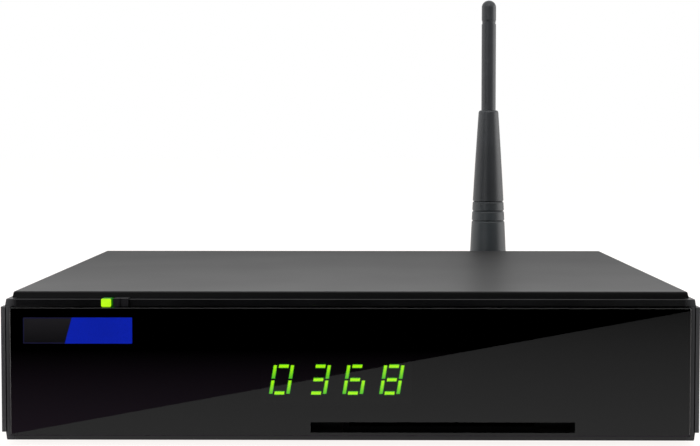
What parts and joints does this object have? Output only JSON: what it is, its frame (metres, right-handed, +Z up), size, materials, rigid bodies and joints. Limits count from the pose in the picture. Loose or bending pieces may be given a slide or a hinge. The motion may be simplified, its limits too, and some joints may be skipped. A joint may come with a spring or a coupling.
{
  "type": "satellite tv receiver",
  "caption": "Flat black set-top box with gloss front window, glowing number display, card recess, rear ports and a hinged upright antenna.",
  "frame": {"origin": "middle of the outline in width and depth, at the height of the feet", "axes": "+X to the right seen from the front, +Y from the front window to the rear ports, +Z up"},
  "size_m": [0.205, 0.1846, 0.1484],
  "materials": {
    "black_sheet_metal": "satin black powder coat, fine grain",
    "bezel_plastic": "fine moulded grain, satin black",
    "window_acrylic": "polished, smoked black",
    "emblem_dark": "printed dark grey, clear coat",
    "emblem_blue": "printed blue, clear coat",
    "light_guide": "clear lime green, lit",
    "button_plastic": "satin black",
    "segment_lit": "lit lime green",
    "segment_dark": "unlit diffuser",
    "display_plastic": "matt black",
    "receiver_plastic": "dark filter plastic",
    "circuit_board": "green solder mask",
    "chip_plastic": "dark moulded",
    "tinned_steel": "bright tin plate",
    "nickel": "nickel plate",
    "gold_plate": "gold plate",
    "zinc_screws": "zinc plate",
    "black_screws": "black oxide",
    "sink_aluminium": "anodised, extruded",
    "capacitor_can": "can with dark sleeve",
    "ferrite": "pressed ferrite",
    "cable_film": "ribbon film with printed lines",
    "white_plastic": "natural moulded",
    "port_plastic": "black moulded",
    "lead_jacket": "thin coaxial jacket",
    "foot_rubber": "matt rubber",
    "antenna_rubber": "satin moulded rubber",
    "antenna_plastic": "satin moulded plastic"
  },
  "bodies": {
    "receiver_case": {"top_cover": "black_sheet_metal", "base_tray": "black_sheet_metal", "rear_panel": "black_sheet_metal", "cover_screws": "black_screws", "rubber_feet": "foot_rubber", "front_bezel": "bezel_plastic", "front_window": "window_acrylic", "emblem_plate": "emblem_dark", "emblem_field": "emblem_blue", "power_light_guide": "light_guide", "power_led": "segment_lit", "tact_switch": "tinned_steel", "display_housing": "display_plastic", "display_lit_segments": "segment_lit", "display_dark_segments": "segment_dark", "infrared_receiver": "receiver_plastic", "front_board": "circuit_board", "front_board_screws": "zinc_screws", "main_board": "circuit_board", "board_standoffs": "gold_plate", "main_board_screws": "zinc_screws", "main_chip": "chip_plastic", "heat_sink": "sink_aluminium", "memory_chips": "chip_plastic", "capacitors": "capacitor_can", "inductors": "ferrite", "crystal": "tinned_steel", "card_reader": "port_plastic", "cable_sockets": "white_plastic", "flat_cable": "cable_film", "tuner_can": "tinned_steel", "satellite_input": "nickel", "satellite_contact": "white_plastic", "aerial_input": "nickel", "aerial_contact": "gold_plate", "hdmi_port": "tinned_steel", "usb_ports": "tinned_steel", "lan_jack": "tinned_steel", "lan_contacts": "gold_plate", "optical_port": "port_plastic", "av_jack": "port_plastic", "dc_jack": "port_plastic", "dc_pin": "nickel", "power_switch": "port_plastic", "wlan_module": "circuit_board", "antenna_pigtail": "lead_jacket", "antenna_jack": "gold_plate", "jack_washer": "nickel", "jack_nut": "gold_plate", "antenna_coupling_nut": "nickel"},
    "antenna_knuckle": {"antenna_knuckle": "antenna_plastic"},
    "antenna_whip": {"antenna_sleeve": "antenna_rubber", "antenna_hinge_pin": "antenna_plastic", "antenna_rod": "antenna_rubber", "antenna_tip_cap": "antenna_rubber"},
    "standby_button": {"standby_button": "button_plastic", "tact_plunger": "port_plastic"},
    "power_rocker": {"power_rocker": "button_plastic"},
    "optical_shutter": {"optical_shutter": "port_plastic"}
  },
  "joints": [
    {"name": "antenna_swivel", "type": "hinge", "parent": "receiver_case", "child": "antenna_knuckle", "pos_m": [0.0569, 0.07623, 0.03], "axis": [0, 1, 0], "range_deg": [-90, 90]},
    {"name": "antenna_tilt", "type": "hinge", "parent": "antenna_knuckle", "child": "antenna_whip", "pos_m": [0.0569, 0.08422, 0.03], "axis": [-1, 0, 0], "range_deg": [0, 90]},
    {"name": "standby_press", "type": "slide", "parent": "receiver_case", "child": "standby_button", "axis": [0, 1, 0], "range_m": [0, 0.0005], "stiffness_N_per_m": 1500, "springref_m": -0.0001},
    {"name": "power_rock", "type": "hinge", "parent": "receiver_case", "child": "power_rocker", "pos_m": [-0.08, 0.06173, 0.023], "axis": [-1, 0, 0], "range_deg": [0, 16]},
    {"name": "optical_shutter_swing", "type": "hinge", "parent": "receiver_case", "child": "optical_shutter", "pos_m": [-0.026, 0.06082, 0.0187], "axis": [-1, 0, 0], "range_deg": [0, 80], "stiffness_Nm_per_rad": 0.0002, "springref_deg": -11.46}
  ]
}
